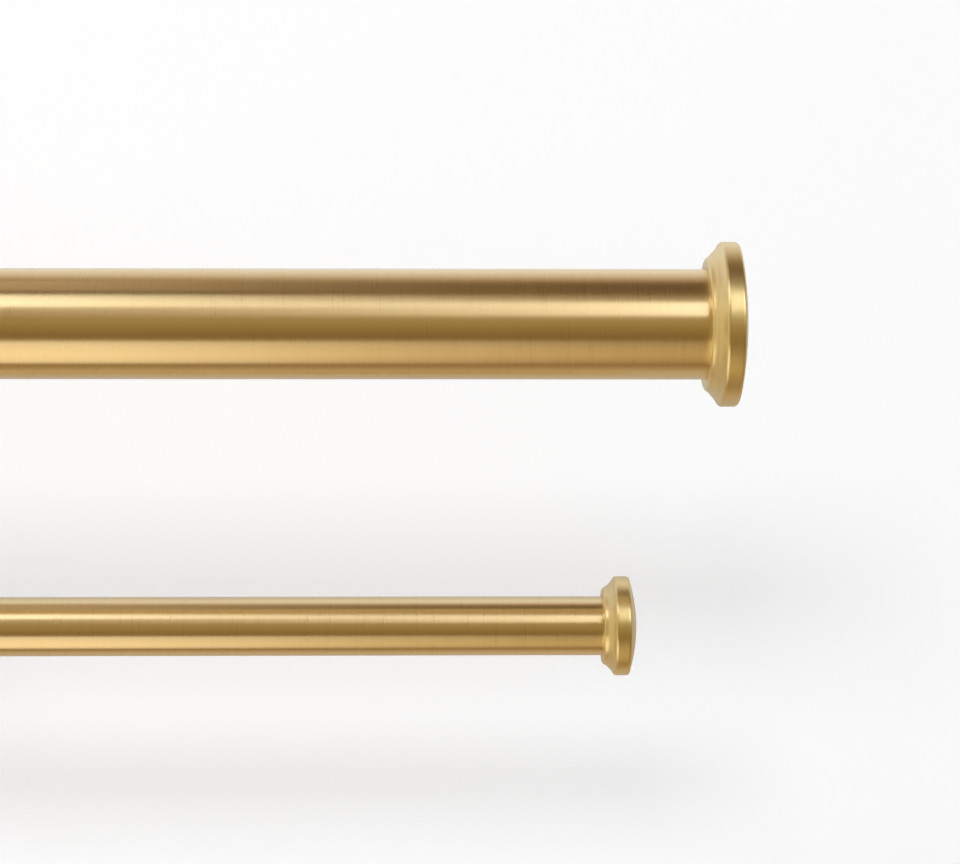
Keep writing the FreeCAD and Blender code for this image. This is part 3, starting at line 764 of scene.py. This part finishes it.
depth, wall_t, outer_round = COVER["depth"], COVER["wall"], COVER["round"]
inner_round = outer_round - wall_t
inner_front = COVER["front"] - depth
quarter_bulge = 1 - math.sqrt(0.5)
cover_section = drawn([
    (outer_round, -depth), (0, outer_round - depth, -outer_round * quarter_bulge),
    (0, 0), (wall_t, 0), (wall_t, inner_front + inner_round),
    (wall_t + inner_round, inner_front, inner_round * quarter_bulge),
])
cover_section = supported(eased(cover_section, 0.2))
for side in SIDES:
    low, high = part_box(f"{side}_cover_plate")
    middle_x = (low.x + high.x) / 2
    cover = carried_round_stadium(f"{side}_cover_plate_pressed", cover_section, middle_x)
    for end in (low.z, high.z):
        place = (middle_x, COVER["grub_y"] * MM, end)
        drilled(cover, place, COVER["grub_r"] * MM, (0, 0, 1), COVER_DRILL_MM * MM)
    flat_kept_flat(cover)
    stands_for(cover, "tumbled_brass", f"{side}_cover_plate", slot="turned_brass")
    print(cover.name, [round(v / MM, 1) for v in cover.dimensions], "mm")


# %% [markdown]
# ## Cradles
# A cradle is one casting: a saddle, a seat for the arm and a boss for the thumb screw, joined by a Boolean
# in the CAD source. That shape is exact already, so a merged copy of its mesh is kept and only its shading
# is improved.

# %% Cradles from the CAD shape
def merged_copy(node, name):
    """A copy of a CAD node's mesh with its loose triangles joined."""
    mesh = frame["nodes"][node].data.copy()
    tidy = bmesh.new()
    tidy.from_mesh(mesh)
    bmesh.ops.remove_doubles(tidy, verts=tidy.verts, dist=1e-6)
    bmesh.ops.recalc_face_normals(tidy, faces=tidy.faces)
    tidy.to_mesh(mesh)
    tidy.free()
    piece = bpy.data.objects.new(name, mesh)
    bpy.context.scene.collection.objects.link(piece)
    return piece


for name in RODS:
    for side in SIDES:
        cradle = merged_copy(f"{side}_{name}_cradle", f"{side}_{name}_cradle_cast")
        flat_kept_flat(cradle, 25)
        stands_for(cradle, "tumbled_brass", f"{side}_{name}_cradle", slot="turned_brass")
        print(cradle.name, len(cradle.data.polygons), "faces")


# %% [markdown]
# ## Felt pads
# A pad is a strip of pressed felt, glued in the saddle. It is a soft rectangle carried along a U: down the
# rear side, round the bottom and up the front. Cut felt is a little crowned and never quite even, so its
# section is a superellipse and its face swells and sinks by a few hundredths of a millimetre.

# %% Felt pads
PAD = {"front": dict(r_in=14.3, thick=1.2, ear=2.0, width=14.0, hole_r=3.3),
       "rear": dict(r_in=8.3, thick=1.0, ear=1.0, width=11.0, hole_r=2.8)}
EAR_STEPS, BEND_STEPS, SECTION_STEPS = 4, 60, 48
EAR_SHORTER, FELT_CORNER, SWELL_MM = 0.1, 0.35, 0.03
PAD_DRILL_MM = 6.0


def felt_strip(name, d, centre):
    """For a place s along the U and a turn a, the point is the U's middle line at s, plus wide(a) along the
    rod and tall(a) towards the rod. wide is half the width * sign(cos a) * |cos a| ** FELT_CORNER, and tall
    is the same of half the thickness and the sine."""
    middle_r = d["r_in"] + d["thick"] / 2
    t = np.linspace(0, np.pi, BEND_STEPS + 1)
    rise = np.linspace(d["ear"] - EAR_SHORTER, 0, EAR_STEPS + 1)[:-1]
    ear = np.ones(EAR_STEPS)
    y = np.concatenate([middle_r * ear, middle_r * np.cos(t), -middle_r * ear])
    z = np.concatenate([rise, -middle_r * np.sin(t), rise[::-1]])
    inward_y = np.concatenate([-ear, -np.cos(t), ear])
    inward_z = np.concatenate([0 * ear, np.sin(t), 0 * ear])
    a = np.linspace(0, 2 * np.pi, SECTION_STEPS + 1)
    wide = np.sign(np.cos(a)) * np.abs(np.cos(a)) ** FELT_CORNER * d["width"] / 2
    tall = np.sign(np.sin(a)) * np.abs(np.sin(a)) ** FELT_CORNER * d["thick"] / 2
    swell = SWELL_MM * np.sin(1.7 * np.arange(len(y)))[:, None] * np.cos(3 * a)[None, :] - SWELL_MM
    depth = tall[None, :] + swell * np.sign(tall)[None, :]
    points = np.stack(np.broadcast_arrays(
        wide[None, :], y[:, None] + depth * inward_y[:, None], z[:, None] + depth * inward_z[:, None]), -1)
    return woven(name, points * MM + np.array(centre), np.arange(len(y)) * MM, a * MM, flat_ends=True)


for name, d in PAD.items():
    rod = RODS[name]
    for side in SIDES:
        low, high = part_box(f"{side}_{name}_cradle_pad")
        centre = ((low.x + high.x) / 2, rod["y"], rod["z"])
        pad = felt_strip(f"{side}_{name}_felt_pad", d, centre)
        bottom = (centre[0], centre[1], centre[2] - d["r_in"] * MM)
        drilled(pad, bottom, d["hole_r"] * MM, (0, 0, 1), PAD_DRILL_MM * MM)
        flat_kept_flat(pad, 50)
        stands_for(pad, "grey_felt_pad", f"{side}_{name}_cradle_pad")
        print(pad.name, [round(v / MM, 1) for v in pad.dimensions], "mm")


# %% [markdown]
# ## CAD nodes that stay
# The wall plates and the small fasteners have the right shape already: plain plate with holes, hexagons and
# sockets. They keep their CAD meshes and only get the finish of the real piece.

# %% Finish the carried-over nodes
KEPT = {"left_wall_plate": "zinc_plated_steel", "right_wall_plate": "zinc_plated_steel",
        "arm_nuts": "zinc_plated_steel", "cradle_screws": "zinc_plated_steel",
        "cover_grub_screws": "black_steel"}
for node, finish in KEPT.items():
    mesh = frame["nodes"][node].data
    mesh.materials.clear()
    mesh.materials.append(FINISH[finish])
shown = [n for n, o in frame["nodes"].items() if not o.hide_render]
print("CAD nodes still shown:", sorted(shown))


# %% [markdown]
# ## Wall and floor
# The rods hang before a white wall, and their soft shadows fall on it. The wall is only a backdrop: seen
# from behind it lets the view through, so that the object's back can be looked at. Reflections in the brass
# do not see the lit wall but a painted glow on it, a ramp by height: lightest just above the rods and fading
# to warm painted shade towards floor and ceiling. The floor is a plain pale sheet far below, and it is hidden
# from reflections.

# %% Wall and floor
WALL_Y, FLOOR_Z, CEILING_Z = 0.0006, -0.9, 2.0


def backdrop(name, corners, colour, glow, in_brass=None):
    """A flat sheet that shows only its front: a matt colour with an even light of its own for the camera.
    in_brass lists (height in metres, linear colour) of a painted glow that reflections see instead of the lit
    sheet."""
    mesh = bpy.data.meshes.new(name)
    mesh.from_pydata(corners, [], [(0, 1, 2, 3)])
    sheet = bpy.data.objects.new(name, mesh)
    bpy.context.scene.collection.objects.link(sheet)
    material, tree, output = empty_material(f"{name}_paint")
    light_path = add(tree, "ShaderNodeLightPath")
    own = add(tree, "ShaderNodeMath", {0: light_path.outputs["Is Camera Ray"], 1: glow}, operation="MULTIPLY")
    paint = add(tree, "ShaderNodeBsdfPrincipled", {
        "Base Color": linear(colour), "Roughness": 0.9, "Specular IOR Level": 0.0,
        "Emission Color": linear("#FFFFFF"), "Emission Strength": own})
    if in_brass:
        # Painted glow for reflections only: a colour ramp by height stands in for the lit wall and the room.
        height = add(tree, "ShaderNodeSeparateXYZ", {0: add(tree, "ShaderNodeTexCoord").outputs["Object"]})
        place = add(tree, "ShaderNodeMapRange", {
            "Value": height.outputs["Z"], "From Min": FLOOR_Z, "From Max": CEILING_Z})
        painted_glow_ramp = add(tree, "ShaderNodeValToRGB", {"Fac": place}, [
            ((z - FLOOR_Z) / (CEILING_Z - FLOOR_Z), (*rgb, 1.0)) for z, rgb in in_brass])
        painted_reflected_glow = add(tree, "ShaderNodeEmission", {"Color": painted_glow_ramp, "Strength": 1.0})
        paint = add(tree, "ShaderNodeMixShader", {
            0: light_path.outputs["Is Glossy Ray"], 1: paint, 2: painted_reflected_glow})
    clear = add(tree, "ShaderNodeBsdfTransparent")
    behind = add(tree, "ShaderNodeNewGeometry").outputs["Backfacing"]
    one_sided = add(tree, "ShaderNodeMixShader", {0: behind, 1: paint, 2: clear})
    tree.links.new(one_sided.outputs[0], output.inputs["Surface"])
    mesh.materials.append(material)
    return sheet


wall_corners = [(-3, WALL_Y, FLOOR_Z), (3, WALL_Y, FLOOR_Z), (3, WALL_Y, CEILING_Z), (-3, WALL_Y, CEILING_Z)]
floor_corners = [(-6, -5, FLOOR_Z), (6, -5, FLOOR_Z), (6, 5, FLOOR_Z), (-6, 5, FLOOR_Z)]
# The wall's painted glow in reflections: warm and dark at floor and ceiling, lightest at 0.14 m just above
# the rods.
wall = backdrop("wall", wall_corners, "#F0F1F5", 0.475, [
    (-0.9, (0.32, 0.20, 0.09)), (2.0, (0.15, 0.09, 0.045)), (-0.45, (0.38, 0.26, 0.13)),
    (-0.2, (0.57, 0.44, 0.30)), (-0.05, (0.52, 0.45, 0.38)), (0.04, (0.60, 0.57, 0.54)),
    (0.14, (0.86, 0.82, 0.80)), (0.25, (0.77, 0.69, 0.66)), (0.39, (0.62, 0.50, 0.42)),
    (0.75, (0.36, 0.25, 0.16))])
floor = backdrop("floor", floor_corners, "#E9E6E0", 0.4)
floor.visible_glossy = False
print("wall faces", [round(v, 2) for v in wall.data.polygons[0].normal], "floor faces",
      [round(v, 2) for v in floor.data.polygons[0].normal])


# %% [markdown]
# ## The room in the brass
# Brass shows its surroundings more than its own colour. A studio is a dim warm room with a few big soft
# panels. The room is a ramp over the elevation of a direction, measured in the plane across the rods:
# straight ahead is middling, overhead is dark, and the floor side is lighter. Far to the left is a bright
# warm wall, which the flared sides of the right end caps look at. Only reflections see this room. The
# camera sees a plain pale surround, and matt surfaces are lit by a weaker one, so that the wall stays
# neutral.

# %% World
def room_light():
    world = bpy.data.worlds.new("studio_room")
    bpy.context.scene.world = world
    world.use_nodes = True
    tree = world.node_tree
    tree.nodes.clear()
    way = add(tree, "ShaderNodeSeparateXYZ", {0: add(tree, "ShaderNodeTexCoord").outputs["Generated"]})
    front = add(tree, "ShaderNodeMath", {0: way.outputs["Y"], 1: -1.0}, operation="MULTIPLY")
    angle = add(tree, "ShaderNodeMath", {0: way.outputs["Z"], 1: front}, operation="ARCTAN2")
    place = add(tree, "ShaderNodeMapRange", {"Value": angle, "From Min": -math.pi, "From Max": math.pi})
    room = add(tree, "ShaderNodeValToRGB", {"Fac": place}, [
        (degrees / 360 + 0.5, (*rgb, 1.0)) for degrees, rgb in [
            (-180, (0.45, 0.42, 0.40)), (180, (0.45, 0.42, 0.40)),
            (-120, (0.36, 0.26, 0.14)), (-98, (0.26, 0.16, 0.07)), (-70, (0.46, 0.30, 0.11)),
            (-50, (0.32, 0.21, 0.07)), (-32, (0.20, 0.12, 0.035)), (0, (0.37, 0.255, 0.10)),
            (50, (0.26, 0.17, 0.07)), (66, (0.13, 0.07, 0.022)), (82, (0.09, 0.045, 0.014)),
            (94, (0.16, 0.095, 0.045)), (118, (0.42, 0.33, 0.25)),
        ]])
    far_left = add(tree, "ShaderNodeMapRange", {
        "Value": way.outputs["X"], "From Min": -0.7, "From Max": -0.95})
    room = add(tree, "ShaderNodeMixRGB", {"Fac": far_left, "Color1": room, "Color2": (0.80, 0.69, 0.50, 1.0)})
    light_path = add(tree, "ShaderNodeLightPath")
    strength = add(tree, "ShaderNodeMapRange", {
        "Value": light_path.outputs["Is Camera Ray"], "To Min": 0.4, "To Max": 1.0})
    pale = add(tree, "ShaderNodeBackground", {"Color": linear("#F1F1F1"), "Strength": strength})
    warm = add(tree, "ShaderNodeBackground", {"Color": room, "Strength": 1.0})
    both = add(tree, "ShaderNodeMixShader", {0: light_path.outputs["Is Glossy Ray"], 1: pale, 2: warm})
    add(tree, "ShaderNodeOutputWorld", {"Surface": both})


room_light()
print("world:", bpy.context.scene.world.name)


# %% [markdown]
# ## Panels of light
# Every softbox is a long panel that runs parallel to the rods, so that it draws a straight band on them. It
# is given by what it looks like from the rods: how far up it stands, how far it reaches to the left and
# right, and how tall it is, all as angles, and a brightness, where 1.0 is white on the screen. Its power
# follows from its area, because a matt panel of brightness L and area A sends out pi * L * A. The key panel
# casts the wall shadows, the fill lights the wall a little from the front, and the panels whose names begin
# with band only draw the bands on the brass.

# %% Softboxes
AIM = Vector((0.43, -0.12, 0.0))


def softbox(name, up, left, right, tall, brightness, distance=1.2, colour="#FFFFFF", diffuse=True,
            glossy=True):
    """A panel around the point AIM + distance * (x, -cos up, sin up), with x from tan left to tan right."""
    up, left, right, tall = (math.radians(v) for v in (up, left, right, tall))
    data = bpy.data.lights.new(name, "AREA")
    data.shape = "RECTANGLE"
    data.size = distance * (math.tan(right) - math.tan(left))
    data.size_y = 2 * distance * math.tan(tall / 2)
    data.color = linear(colour)[:3]
    data.energy = math.pi * data.size * data.size_y * brightness
    panel = bpy.data.objects.new(name, data)
    bpy.context.scene.collection.objects.link(panel)
    middle = (math.tan(left) + math.tan(right)) / 2
    panel.location = AIM + distance * Vector((middle, -math.cos(up), math.sin(up)))
    panel.rotation_euler = (math.pi / 2 - up, 0, 0)
    panel.visible_camera = False
    panel.visible_diffuse, panel.visible_glossy = diffuse, glossy
    print(name, round(data.energy, 2), "W,", round(data.size, 2), "by", round(data.size_y, 2), "m")
    return panel


softbox("key_for_shadows", 30, -27, -3, 12, 9.0, distance=1.6, glossy=False)
softbox("fill_from_front", 5, -30, 30, 60, 0.12, distance=2.5, glossy=False)
softbox("band_upper_right", 31, 9, 52, 29, 2.0, diffuse=False)
softbox("band_upper_left", 47, -54, -13, 26, 2.0, diffuse=False)
softbox("band_overhead_left", 92, -62, -9, 44, 0.5, colour="#FFE9CF", diffuse=False)
softbox("band_lower_left", -64, -58, -6, 54, 0.95, colour="#FFF8EC", diffuse=False)


# %% [markdown]
# ## Camera
# The view is a level close-up of the rods' right ends, almost straight at the wall, from three quarters of
# a metre. The lens is 90 mm on a 36 mm sensor, which keeps the rods' sides nearly parallel.

# %% Camera and colour handling
camera_data = bpy.data.cameras.new("camera")
camera_data.lens, camera_data.sensor_width = 90.0, 36.0
camera = bpy.data.objects.new("camera", camera_data)
camera.location = (0.420, -0.7456, 0.0127)
camera.rotation_euler = (math.radians(90), 0, math.radians(-1.19))
bpy.context.scene.collection.objects.link(camera)
bpy.context.scene.camera = camera
bpy.context.scene.view_settings.view_transform = "Standard"
print("camera at", [round(v, 4) for v in camera.location])
